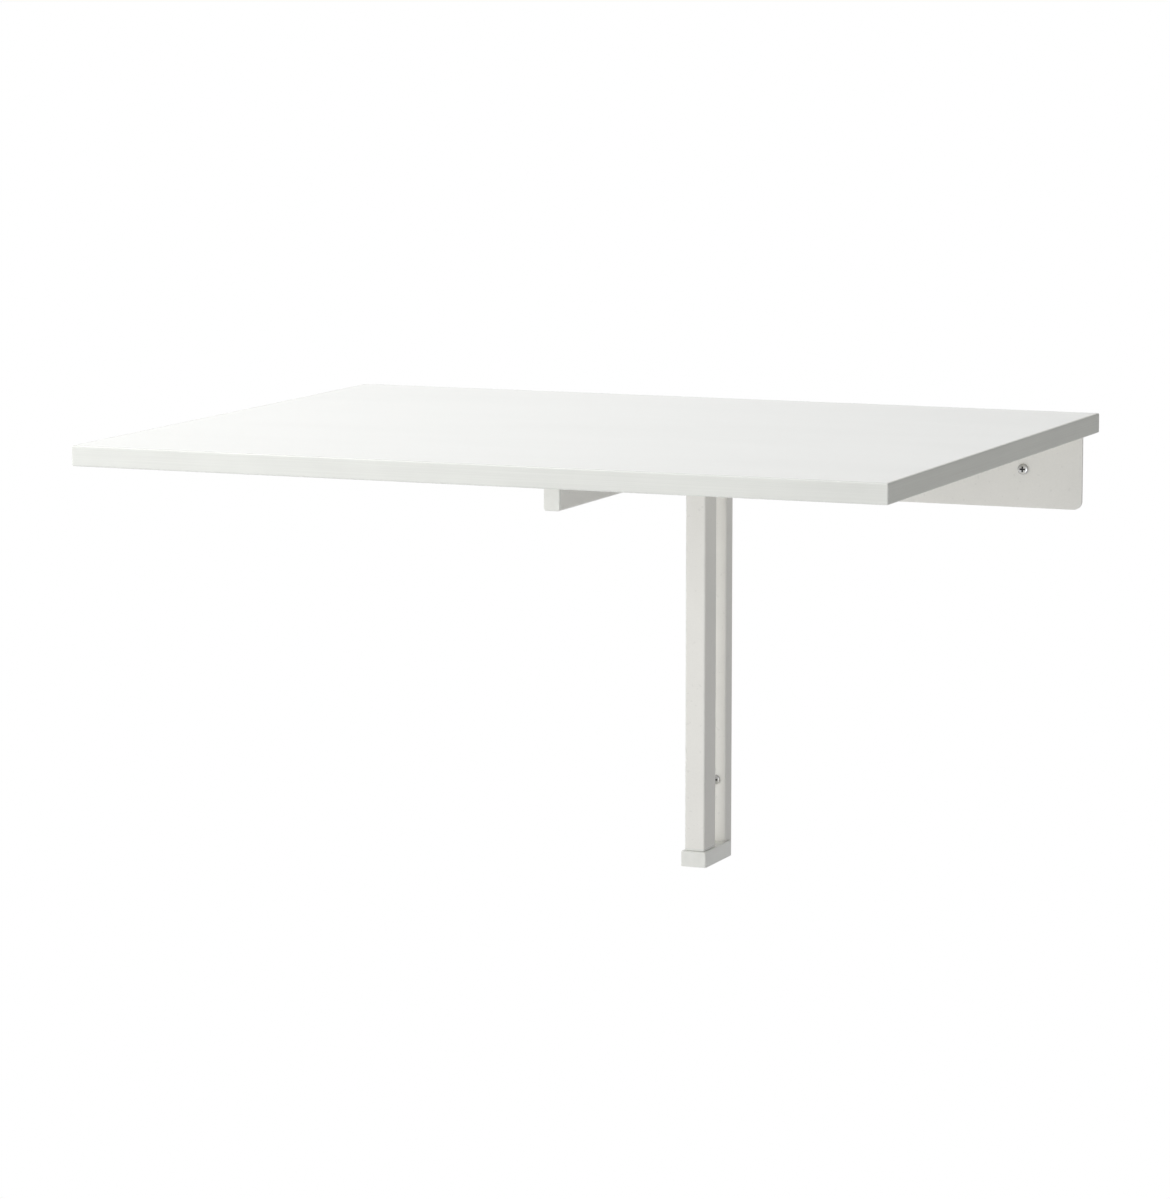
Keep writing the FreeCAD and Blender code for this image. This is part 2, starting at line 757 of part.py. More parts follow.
half_arm = S.arm_width / 2
arm_end = S.arm_reach - S.end_cap_thickness
arm = new_node("support_arm", 0, 0, arm_bottom)
box_tube(arm, "XZ_Plane", arm_root, (-half_arm, formula(0)), (half_arm, arm_height), arm_end - arm_root)
peg_holes = sketch(arm, "XY_Plane", arm_height)
for end in (-1, 1):
    peg_y = -glide_middle + end * S.glide_peg_pitch / 2
    circle(peg_holes, 0, peg_y, S.glide_peg_radius + S.fastener_clearance)
pocket(arm, peg_holes, S.tube_wall * 2)

cap = new_node("arm_end_cap", 0, -arm_end, arm_bottom)
face = sketch(cap, "XZ_Plane")
rectangle(face, -half_arm, half_arm, 0, arm_height)
cover = pad(cap, face, S.end_cap_thickness)
cover = soften(cap, cover, S.tube_rounding, lambda edge: runs_along(edge, Y_AXIS))
soften(cap, cover, S.end_cap_rounding, lambda edge: lies_at(edge, Y_AXIS, -S.end_cap_thickness))
inset = S.tube_wall + S.plug_clearance
insert = sketch(cap, "XZ_Plane", -S.plug_depth)
rectangle(insert, inset - half_arm, half_arm - inset, inset, arm_height - inset)
shank = pad(cap, insert, S.plug_depth)


def is_shank_corner(edge):
    return runs_along(edge, Y_AXIS) and lies_at(edge, Y_AXIS, S.plug_depth / 2)


soften(cap, shank, S.tube_rounding - S.tube_wall, is_shank_corner)
hollow = sketch(cap, "XZ_Plane", -S.plug_depth)
wall = inset + S.tube_wall
rectangle(hollow, wall - half_arm, half_arm - wall, wall, arm_height - wall)
pocket(cap, hollow, S.plug_depth, along_normal=True)

# Glide on the arm, and the rest under the leaf that it bears on, with a lip that stops the arm square to the wall
half_glide = S.glide_width / 2
glide = new_node("arm_glide", 0, -glide_middle, upright_top)
strip = sketch(glide, "XY_Plane")
rectangle(strip, -half_glide, half_glide, -S.glide_length / 2, S.glide_length / 2)
runner = pad(glide, strip, glide_top - upright_top)
runner = soften(glide, runner, half_glide / 2, lambda edge: runs_along(edge, Z_AXIS))
soften(
    glide, runner, S.rest_rounding,
    lambda edge: lies_at(edge, Z_AXIS, glide_top - upright_top),
)
pegs = sketch(glide, "XY_Plane", -S.tube_wall)
for end in (-1, 1):
    circle(pegs, 0, end * S.glide_peg_pitch / 2, S.glide_peg_radius)
pad(glide, pegs, S.tube_wall)

lip_start = half_glide + S.lip_clearance
rest_half_length = S.glide_length / 2 + S.rest_margin
rest_height = underside - rest_bottom
rest = new_node("arm_rest", 0, -glide_middle, rest_bottom)
section = sketch(rest, "XZ_Plane")
polygon(section, [
    (-S.rest_free_width, 0),
    (lip_start, 0),
    (lip_start, -S.lip_drop),
    (lip_start + S.lip_thickness, -S.lip_drop),
    (lip_start + S.lip_thickness, rest_height),
    (-S.rest_free_width, rest_height),
])
moulding = pad(rest, section, 2 * rest_half_length, both_ways=True)
soften(
    rest, moulding, S.rest_rounding,
    lambda edge: runs_along(edge, Z_AXIS),
)
counterbore = sketch(rest, "XY_Plane")
through = sketch(rest, "XY_Plane")
head_room = S.board_screw_head_height + S.rest_clearance
for end in (-1, 1):
    screw_y = end * S.rest_screw_pitch / 2
    circle(counterbore, 0, screw_y, S.board_screw_head_radius + S.rest_clearance)
    circle(through, 0, screw_y, pilot_radius)
pocket(rest, counterbore, head_room, along_normal=True)
pocket(rest, through)
rest_screws = []
for number, end in enumerate((-1, 1), 1):
    screw_y = -glide_middle + end * S.rest_screw_pitch / 2
    rest_screws.append(board_screw(f"rest_screw_{number}", 0, screw_y, rest_bottom + head_room))
group("arm_rest_screws", rest_screws)

# Every object has to be sound before any piece is written
doc.recompute()
for item in doc.Objects:
    if "Invalid" in item.State or "Error" in item.State:
        raise ValueError(f"{item.Label} failed")
for node in nodes:
    if node.Shape.isNull() or not node.Shape.isValid():
        raise ValueError(f"{node.Label} has no sound shape")

os.makedirs("parts", exist_ok=True)
for node in nodes:
    node.Shape.exportStep(f"parts/{node.Label}.step")
    print(f"{node.Label}: {len(node.Shape.Solids)} solids, {node.Shape.Volume / 1000:.2f} cm3")
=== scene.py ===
"""Looks of a wall mounted drop leaf table: its finishes, fasteners and weld, with a studio and a camera."""

import logging
import math
from collections.abc import Sequence
from dataclasses import dataclass, replace
from enum import Enum
from functools import cache

import bmesh
import bpy
from mathutils import Matrix, Vector


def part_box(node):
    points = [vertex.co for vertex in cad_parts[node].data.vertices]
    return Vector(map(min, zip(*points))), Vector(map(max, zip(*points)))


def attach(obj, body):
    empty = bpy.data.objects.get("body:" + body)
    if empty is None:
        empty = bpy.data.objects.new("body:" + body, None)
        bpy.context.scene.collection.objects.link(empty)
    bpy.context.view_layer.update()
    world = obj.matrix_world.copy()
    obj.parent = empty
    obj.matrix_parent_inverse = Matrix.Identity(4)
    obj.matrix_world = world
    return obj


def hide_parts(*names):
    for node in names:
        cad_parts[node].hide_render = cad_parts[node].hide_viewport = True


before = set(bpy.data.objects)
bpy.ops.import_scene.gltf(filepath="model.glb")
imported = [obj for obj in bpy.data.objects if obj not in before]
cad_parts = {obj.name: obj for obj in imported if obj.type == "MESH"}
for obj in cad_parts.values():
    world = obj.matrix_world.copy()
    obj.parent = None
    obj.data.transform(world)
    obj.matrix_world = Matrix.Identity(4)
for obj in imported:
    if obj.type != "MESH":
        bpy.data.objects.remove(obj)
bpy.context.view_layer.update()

log = logging.getLogger("drop_leaf_table")

Triple = tuple[float, float, float]
Span = tuple[float, float]
Ring = list[Vector]

MM = 0.001
FULL_TURN = 2 * math.pi
QUARTER_TURN = math.pi / 2
EIGHTH_TURN = math.pi / 4
CROSS_ARMS = 4
FULL_SPHERE = 4 * math.pi
ORIGIN = (0.0, 0.0, 0.0)
LEVEL_ONLY = (1.0, 1.0, 0.0)
OFF_THE_WALL = Vector((0.0, -1.0, 0.0))
WHITE = (1.0, 1.0, 1.0)
CREASE = math.radians(35)


class Body(Enum):
    """The bodies of the table that move as one."""

    WALL_FRAME = "wall_frame"
    LEAF = "leaf"
    GATE = "gate"


class Slot(Enum):
    """The record's material slots."""

    FOIL_BOARD = "foil_board"
    EDGE_BAND = "edge_band"
    POWDER_COAT = "powder_coat"
    WHITE_PLASTIC = "white_plastic"
    BEARING_PLASTIC = "bearing_plastic"
    ZINC_STEEL = "zinc_steel"


class Side(Enum):
    """The two hinges, seen from the front."""

    LEFT = "left"
    RIGHT = "right"


class Grain(Enum):
    """The axis that pores, rolling marks or extrusion lines run along."""

    ALONG_X = 0
    ALONG_Y = 1
    ALONG_Z = 2

    def stretch(self, across: float, along: float) -> Triple:
        """How often a texture repeats in each metre, given its sizes across and along the grain.

        Args:
            across: size of one mark across the grain, in metres.
            along: length of one mark along the grain, in metres.

        Returns:
            The repeats in a metre along X, Y and Z.
        """
        return tuple(1 / (along if axis == self.value else across) for axis in range(3))


class Value:
    """A socket whose value varies over a surface and that takes part in arithmetic."""

    def __init__(self, graph: "Graph", socket: bpy.types.NodeSocket) -> None:
        """Keep the socket and the graph that its sums are added to."""
        self.graph = graph
        self.socket = socket

    def math(self, operation: str, first: "Value | float", second: "Value | float") -> "Value":
        """Add one Math node.

        Args:
            operation: the node's operation.
            first: its first operand.
            second: its second operand.

        Returns:
            The result.
        """
        return self.graph.add("ShaderNodeMath", {"operation": operation}, {0: first, 1: second})

    def __add__(self, other: "Value | float") -> "Value":
        """This value plus another."""
        return self.math("ADD", self, other)

    def __radd__(self, other: float) -> "Value":
        """A number plus this value."""
        return self.math("ADD", other, self)

    def __sub__(self, other: "Value | float") -> "Value":
        """This value less another."""
        return self.math("SUBTRACT", self, other)

    def __rsub__(self, other: float) -> "Value":
        """A number less this value."""
        return self.math("SUBTRACT", other, self)

    def __mul__(self, other: "Value | float") -> "Value":
        """This value times another."""
        return self.math("MULTIPLY", self, other)

    def __rmul__(self, other: float) -> "Value":
        """A number times this value."""
        return self.math("MULTIPLY", other, self)

    def __gt__(self, other: "Value | float") -> "Value":
        """1 where this value is above another, and 0 elsewhere."""
        return self.math("GREATER_THAN", self, other)

    def __or__(self, other: "Value | float") -> "Value":
        """The larger of two masks."""
        return self.math("MAXIMUM", self, other)

    def __abs__(self) -> "Value":
        """This value without its sign."""
        return self.math("ABSOLUTE", self, 0.0)


Input = Value | float | Sequence[float]


class Graph:
    """A node tree, with the one method that adds nodes to it."""

    MIX_FACTOR, MIX_FIRST, MIX_SECOND, MIX_RESULT = 0, 6, 7, 2

    def __init__(self, tree: bpy.types.NodeTree) -> None:
        """Keep the tree."""
        self.tree = tree

    def fill(self, node: bpy.types.Node, inputs: dict[str | int, Input]) -> None:
        """Set or link a node's sockets.

        Args:
            node: the node.
            inputs: a number, a colour or a value for each socket, by its name or place.
        """
        for key, given in inputs.items():
            if isinstance(given, Value):
                self.tree.links.new(given.socket, node.inputs[key])
            else:
                node.inputs[key].default_value = given

    def add(
        self,
        kind: str,
        settings: dict[str, object] | None = None,
        inputs: dict[str | int, Input] | None = None,
        output: str | int = 0,
    ) -> Value:
        """Add a node.

        Args:
            kind: the node's type.
            settings: the node's own settings, which are set first.
            inputs: the values or links of its sockets.
            output: the name or place of the socket that is wanted of it.

        Returns:
            The wanted output.
        """
        node = self.tree.nodes.new(kind)
        for name, setting in (settings or {}).items():
            setattr(node, name, setting)
        self.fill(node, inputs or {})
        return Value(self, node.outputs[output])

    def place(self) -> Value:
        """Where a point of the piece is at rest, in metres."""
        return self.add("ShaderNodeTexCoord", output="Object")

    def vector(self, operation: str, first: Input, second: Input, output: str = "Vector") -> Value:
        """Work on two vectors.

        Args:
            operation: the Vector Math operation.
            first: the first vector.
            second: the second vector.
            output: Vector, or Value where the result is a number.

        Returns:
            The result.
        """
        return self.add("ShaderNodeVectorMath", {"operation": operation}, {0: first, 1: second}, output)

    def noise(self, place: Value, repeats: Triple, detail: float) -> Value:
        """A smooth random value, from 0 to 1 with most of it near 0.5.

        Args:
            place: the point that it depends on.
            repeats: how often it changes in a metre along each axis.
            detail: how many finer layers it has.

        Returns:
            The value.
        """
        scaled = self.vector("MULTIPLY", place, repeats)
        return self.add("ShaderNodeTexNoise", inputs={"Vector": scaled, "Scale": 1.0, "Detail": detail})

    def step(self, value: Value, low: float, high: float) -> Value:
        """A smooth step from 0 at one value to 1 at another.

        Args:
            value: what it depends on.
            low: where it leaves 0.
            high: where it reaches 1.

        Returns:
            The step.
        """
        limits = {"Value": value, "From Min": low, "From Max": high}
        return self.add("ShaderNodeMapRange", {"interpolation_type": "SMOOTHSTEP"}, limits)

    def blend(self, factor: Value, first: Input, second: Input) -> Value:
        """Mix two colours.

        Args:
            factor: the share of the second colour.
            first: the colour where the share is 0.
            second: the colour where the share is 1.

        Returns:
            The mixed colour.
        """
        inputs = {self.MIX_FACTOR: factor, self.MIX_FIRST: first, self.MIX_SECOND: second}
        return self.add("ShaderNodeMix", {"data_type": "RGBA"}, inputs, self.MIX_RESULT)

    def bump(self, height: Value, relief: float) -> Value:
        """A surface normal that follows a height.

        Args:
            height: the height, from 0 to 1.
            relief: the height of 1, in metres.

        Returns:
            The normal.
        """
        shape = {"Strength": 1.0, "Distance": relief, "Height": height}
        return self.add("ShaderNodeBump", inputs=shape, output="Normal")

    def seen_directly(self) -> Value:
        """What tells the eye's rays from those of the light that falls on things.

        Returns:
            1 for what the camera, a mirror or a glass shows, and 0 for the rest.
        """
        rays = [
            self.add("ShaderNodeLightPath", output=name)
            for name in ("Is Camera Ray", "Is Glossy Ray", "Is Transmission Ray")
        ]
        return rays[0] | rays[1] | rays[2]


def opaque(colour: Triple, shade: float = 1.0) -> tuple[float, float, float, float]:
    """A colour as a socket takes it.

    Args:
        colour: red, green and blue.
        shade: what they are multiplied by.

    Returns:
        The shaded colour with an alpha of 1.
    """
    return (*(part * shade for part in colour), 1.0)


@dataclass(frozen=True)
class Marks:
    """Marks of one kind in a surface: their size, and how much they tint, dull and raise it.

    They are as long as wide where no length is given. An edge is the span in which noise becomes a mark.
    """

    width: float
    length: float | None = None
    detail: float = 2.0
    edge: Span | None = None
    tint: float = 0.0
    dull: float = 0.0
    rise: float = 0.0

    def over(self, graph: Graph, place: Value, along: Grain = Grain.ALONG_X) -> Value:
        """Spread the marks over a surface.

        Args:
            graph: the material's nodes.
            place: the point that they depend on.
            along: the axis that long marks run along.

        Returns:
            Where the marks are, from 0 to 1.
        """
        spread = graph.noise(place, along.stretch(self.width, self.length or self.width), self.detail)
        return graph.step(spread, *self.edge) if self.edge else spread


@dataclass(frozen=True)
class Finish:
    """A finish that several pieces share."""

    name: str
    slot: Slot
    colour: Triple
    roughness: float

    def surface(self, graph: Graph) -> dict[str | int, Input]:
        """What the shader's sockets get.

        Args:
            graph: the material's nodes.

        Returns:
            Values by the names of the sockets.
        """
        raise NotImplementedError

    @cache
    def material(self) -> bpy.types.Material:
        """Make the finish's material, once.

        Returns:
            The material.
        """
        material = bpy.data.materials.new(self.name)
        material.use_nodes = True
        graph = Graph(material.node_tree)
        shader = next(node for node in material.node_tree.nodes if node.type == "BSDF_PRINCIPLED")
        graph.fill(shader, self.surface(graph))
        return material


@dataclass(frozen=True)
class WhiteFoil(Finish):
    """White foil with a fine embossed pore that runs along the board, and a glue line at its edges."""

    pores: Marks = Marks(0.5 * MM, 6.0 * MM, edge=(0.52, 0.7), tint=0.35, dull=-0.08, rise=-0.55)
    grit: Marks = Marks(0.8 * MM, detail=3.0, tint=0.5, rise=0.45)
    clouds: Marks = Marks(90 * MM, 270 * MM, tint=0.6, dull=0.1)
    clear_tint: float = 0.55
    shade: float = 0.9
    relief: float = 0.05 * MM
    specular: float = 0.4
    glue_line: float = 0.25 * MM
    glue_shade: float = 0.72

    def surface(self, graph: Graph) -> dict[str | int, Input]:
        """Pores, a faint grit and clouds in the white, and a darker line where the board meets its bands.

        Args:
            graph: the material's nodes.

        Returns:
            Values by the names of the sockets.
        """
        place = graph.place()
        pores = self.pores.over(graph, place)
        grit = self.grit.over(graph, place)
        clouds = self.clouds.over(graph, place)
        low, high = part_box("table_board")
        middle, half = (low + high) / 2, (high - low) / 2
        from_middle = graph.vector("SUBTRACT", place, middle)
        along, across = (
            graph.add("ShaderNodeSeparateXYZ", inputs={0: from_middle}, output=axis) for axis in ("X", "Y")
        )
        at_end = abs(along) > half.x - self.glue_line
        at_side = abs(across) > half.y - self.glue_line
        tint = self.pores.tint * pores + self.grit.tint * grit + self.clouds.tint * clouds - self.clear_tint
        white = graph.blend(tint, opaque(self.colour), opaque(self.colour, self.shade))
        glued = graph.blend(at_end | at_side, white, opaque(self.colour, self.glue_shade))
        return {
            "Base Color": glued,
            "Roughness": self.roughness + self.clouds.dull * clouds + self.pores.dull * pores,
            "Normal": graph.bump(self.grit.rise * grit + self.pores.rise * pores, self.relief),
            "Specular IOR Level": self.specular,
        }


@dataclass(frozen=True)
class ExtrudedBand(Finish):
    """Satin plastic edging with the faint lines of its extrusion along it."""

    along: Grain = Grain.ALONG_X
    lines: Marks = Marks(0.6 * MM, 120 * MM, tint=0.5, dull=0.12, rise=0.6)
    grit: Marks = Marks(0.5 * MM, tint=0.3, rise=0.4)
    clouds: Marks = Marks(60 * MM, tint=0.5, dull=-0.06)
    tint_edge: Span = (0.4, 0.9)
    shade: float = 0.92
    relief: float = 0.02 * MM
    specular: float = 0.2

    def surface(self, graph: Graph) -> dict[str | int, Input]:
        """Fine lines along the band, and clouds in its white.

        Args:
            graph: the material's nodes.

        Returns:
            Values by the names of the sockets.
        """
        place = graph.place()
        lines = self.lines.over(graph, place, self.along)
        grit = self.grit.over(graph, place)
        clouds = self.clouds.over(graph, place)
        tints = self.lines.tint * lines + self.grit.tint * grit + self.clouds.tint * clouds
        tint = graph.step(tints, *self.tint_edge)
        return {
            "Base Color": graph.blend(tint, opaque(self.colour), opaque(self.colour, self.shade)),
            "Roughness": self.roughness + self.lines.dull * lines + self.clouds.dull * clouds,
            "Normal": graph.bump(self.lines.rise * lines + self.grit.rise * grit, self.relief),
            "Specular IOR Level": self.specular,
        }


@dataclass(frozen=True)
class PowderCoat(Finish):
    """Powder coat on steel: orange peel with a finer grit and a few pin pricks."""

    peel: Marks = Marks(1.6 * MM, detail=1.0, tint=0.4, rise=0.6)
    grit: Marks = Marks(0.45 * MM, tint=0.4, dull=0.14, rise=0.3)
    pricks: Marks = Marks(3.5 * MM, detail=0.0, edge=(0.76, 0.82), tint=0.5, rise=-0.3)
    clouds: Marks = Marks(70 * MM, tint=0.7, dull=-0.08)
    clear_tint: float = 0.55
    shade: float = 0.89
    relief: float = 0.07 * MM
    specular: float = 0.4

    def surface(self, graph: Graph) -> dict[str | int, Input]:
        """Peel and grit in the normal, pricks in both colour and normal, and clouds in the colour.

        Args:
            graph: the material's nodes.

        Returns:
            Values by the names of the sockets.
        """
        place = graph.place()
        peel = self.peel.over(graph, place)
        grit = self.grit.over(graph, place)
        pricks = self.pricks.over(graph, place)
        clouds = self.clouds.over(graph, place)
        texture_tint = self.peel.tint * peel + self.grit.tint * grit
        tint = texture_tint + self.clouds.tint * clouds + self.pricks.tint * pricks - self.clear_tint
        height = self.peel.rise * peel + self.grit.rise * grit + self.pricks.rise * pricks
        return {
            "Base Color": graph.blend(tint, opaque(self.colour), opaque(self.colour, self.shade)),
            "Roughness": self.roughness + self.grit.dull * grit + self.clouds.dull * clouds,
            "Normal": graph.bump(height, self.relief),
            "Specular IOR Level": self.specular,
        }


@dataclass(frozen=True)
class MouldedPlastic(Finish):
    """Moulded plastic with a spark eroded grain and faint flow marks."""

    grain: Marks = Marks(0.35 * MM, detail=3.0, tint=0.3, dull=0.12)
    flow: Marks = Marks(9 * MM, 45 * MM, detail=3.0, tint=0.7, dull=-0.1)
    tint_edge: Span = (0.35, 0.75)
    shade: float = 0.94
    relief: float = 0.04 * MM
    specular: float = 0.45

    def surface(self, graph: Graph) -> dict[str | int, Input]:
        """The mould's grain in the normal, and flow marks in colour and gloss.

        Args:
            graph: the material's nodes.

        Returns:
            Values by the names of the sockets.
        """
        place = graph.place()
        grain = self.grain.over(graph, place)
        flow = self.flow.over(graph, place, Grain.ALONG_Y)
        tint = graph.step(self.flow.tint * flow + self.grain.tint * grain, *self.tint_edge)
        return {
            "Base Color": graph.blend(tint, opaque(self.colour), opaque(self.colour, self.shade)),
            "Roughness": self.roughness + self.grain.dull * grain + self.flow.dull * flow,
            "Normal": graph.bump(grain, self.relief),
            "Specular IOR Level": self.specular,
        }


@dataclass(frozen=True)
class BearingPlastic(Finish):
    """Natural bearing plastic, waxy and a little yellow, with tool marks about the gate's axis."""

    grit: Marks = Marks(0.3 * MM, detail=3.0, tint=0.3, dull=0.1)
    clouds: Marks = Marks(4 * MM, detail=3.0, tint=0.7, dull=-0.08)
    tint_edge: Span = (0.35, 0.7)
    shade: float = 0.88
    ring_pitch: float = 0.35 * MM
    ring_share: float = 0.6
    relief: float = 0.03 * MM
    specular: float = 0.5

    def surface(self, graph: Graph) -> dict[str | int, Input]:
        """Rings of the tool in the normal where the piece is turned, and clouds in the wax.

        Args:
            graph: the material's nodes.

        Returns:
            Values by the names of the sockets.
        """
        place = graph.place()
        low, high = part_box("shelf_bush")
        from_axis = graph.vector("SUBTRACT", place, (low + high) / 2)
        level = graph.vector("MULTIPLY", from_axis, LEVEL_ONLY)
        radius = graph.vector("LENGTH", level, ORIGIN, "Value")
        rings = radius.math("PINGPONG", radius * (1 / self.ring_pitch), 1.0)
        grit = self.grit.over(graph, place)
        clouds = self.clouds.over(graph, place)
        tint = graph.step(self.clouds.tint * clouds + self.grit.tint * grit, *self.tint_edge)
        return {
            "Base Color": graph.blend(tint, opaque(self.colour), opaque(self.colour, self.shade)),
            "Roughness": self.roughness + self.grit.dull * grit + self.clouds.dull * clouds,
            "Normal": graph.bump(self.ring_share * rings + (1 - self.ring_share) * grit, self.relief),
            "Specular IOR Level": self.specular,
        }


@dataclass(frozen=True)
class ZincPlate(Finish):
    """Bright zinc plate with a passivated bloom and fine rolling scratches."""

    along: Grain = Grain.ALONG_X
    bloom: Triple = (0.54, 0.515, 0.43)
    patches: Marks = Marks(5 * MM, detail=3.0, edge=(0.42, 0.68), tint=0.6, dull=0.12)
    scratches: Marks = Marks(0.12 * MM, 9 * MM, detail=3.0, tint=0.5, dull=0.1)
    shade: float = 0.8
    relief: float = 0.004 * MM

    def surface(self, graph: Graph) -> dict[str | int, Input]:
        """A warm bloom in patches, and scratches in gloss and normal.

        Args:
            graph: the material's nodes.

        Returns:
            Values by the names of the sockets.
        """
        place = graph.place()
        patches = self.patches.over(graph, place)
        scratches = self.scratches.over(graph, place, self.along)
        plate = graph.blend(self.patches.tint * patches, opaque(self.colour), opaque(self.bloom))
        scratched = graph.blend(self.scratches.tint * scratches, plate, opaque(self.colour, self.shade))
        return {
            "Base Color": scratched,
            "Metallic": 1.0,
            "Roughness": self.roughness + self.patches.dull * patches + self.scratches.dull * scratches,
            "Normal": graph.bump(scratches, self.relief),
        }


FOIL = WhiteFoil("white_foil", Slot.FOIL_BOARD, (0.885, 0.89, 0.87), 0.42)
BAND_ALONG_X = ExtrudedBand("edging_along_the_wall", Slot.EDGE_BAND, (0.8, 0.81, 0.775), 0.2)
# The end bands' edging is a darker, warmer copy of the same plastic: painted shade on the ends of the
# board.
SHADED_BAND_ALONG_Y = ExtrudedBand("edging_to_the_wall_painted_shade", Slot.EDGE_BAND, (0.775, 0.784, 0.732), 0.4, Grain.ALONG_Y)
COAT = PowderCoat("white_powder_coat", Slot.POWDER_COAT, (0.862, 0.852, 0.812), 0.45)
PLASTIC = MouldedPlastic("white_moulding", Slot.WHITE_PLASTIC, (0.825, 0.83, 0.792), 0.22)
TURNED_BEARING = BearingPlastic("turned_bearing", Slot.BEARING_PLASTIC, (0.78, 0.765, 0.7), 0.38)
MOULDED_BEARING = replace(TURNED_BEARING, name="moulded_bearing", roughness=0.4, ring_share=0.0)
ZINC = ZincPlate("zinc_plate", Slot.ZINC_STEEL, (0.56, 0.565, 0.57), 0.2)
ZINC_UPRIGHT = replace(ZINC, name="zinc_plate_upright", along=Grain.ALONG_Z)
# A near black, dull plate for the screw heads' cross recesses: painted shade in the recess. Screws carry it
# as their second finish.
PAINTED_SHADE_RECESS = ZincPlate("recess_painted_shade", Slot.ZINC_STEEL, (0.13, 0.13, 0.135), 0.5, bloom=(0.1, 0.095, 0.08))
SCREW_FINISHES = (ZINC, PAINTED_SHADE_RECESS)


def on_turn(radius: float, angle: float, level: float) -> Vector:
    """A point by its distance from the Z axis, its angle about it and its height."""
    return Vector((radius * math.cos(angle), radius * math.sin(angle), level))


def circle(radius: float, level: float, angles: Sequence[float]) -> Ring:
    """A level ring about the Z axis.

    Args:
        radius: its radius.
        level: its height.
        angles: where its points are.

    Returns:
        The points.
    """
    return [on_turn(radius, angle, level) for angle in angles]


def even_angles(count: int) -> list[float]:
    """Angles at even steps round a turn."""
    return [FULL_TURN * number / count for number in range(count)]


def loft(mesh: bmesh.types.BMesh, rings: Sequence[Ring], place: Matrix, sunk: int = 0) -> None:
    """Add a closed skin through rings of as many points each, with a fan at either end.

    Args:
        mesh: what it is added to.
        rings: the rings, in order, in the skin's own frame.
        place: the skin's frame.
        sunk: how many of the first rings are down in a recess, which takes the piece's second finish, a
            dark plate that paints the recess's shade.
    """
    loops = [[mesh.verts.new(place @ point) for point in ring] for ring in rings]
    count = len(loops[0])
    sides = [(side, (side + 1) % count) for side in range(count)]
    # The recess's walls and floor take the second finish, which paints their shade.
    for number, (near, far) in enumerate(zip(loops, loops[1:])):
        for left, right in sides:
            face = mesh.faces.new((near[left], near[right], far[right], far[left]))
            face.material_index = int(number < sunk)
    for ring, loop, finish in ((rings[0], loops[0][::-1], int(sunk > 0)), (rings[-1], loops[-1], 0)):
        tip = mesh.verts.new(place @ (sum(ring, Vector()) / count))
        for left, right in sides:
            face = mesh.faces.new((loop[left], loop[right], tip))
            face.material_index = finish


def new_piece(
    name: str, mesh: bmesh.types.BMesh, finishes: Sequence[Finish], body: Body, replaced: str | None = None,
    crease: float = CREASE,
) -> None:
    """Make a piece of a finished mesh and set it on its body.

    Args:
        name: the piece's name.
        mesh: its skin, in the row frame.
        finishes: its finishes, the main one first.
        body: the body that it rides on.
        replaced: the node that it stands for, if any.
        crease: edges that turn by more than this stay sharp.
    """
    bmesh.ops.recalc_face_normals(mesh, faces=mesh.faces)
    data = bpy.data.meshes.new(name)
    mesh.to_mesh(data)
    mesh.free()
    data.shade_smooth()
    data.set_sharp_from_angle(angle=crease)
    for finish in finishes:
        data.materials.append(finish.material())
    piece = bpy.data.objects.new(name, data)
    bpy.context.scene.collection.objects.link(piece)
    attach(piece, body.value)
    if replaced:
        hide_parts(replaced)
    log.info("%s: %d faces on %s", name, len(data.polygons), body.value)


def dress_nodes(finishes: dict[str, Finish]) -> None:
    """Give carried over nodes their finishes.

    Args:
        finishes: the finish of each node.
    """
    for name, finish in finishes.items():
        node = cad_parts[name]
        for place in node.material_slots:
            place.material = finish.material()
        log.info("%s: %s", name, finish.name)


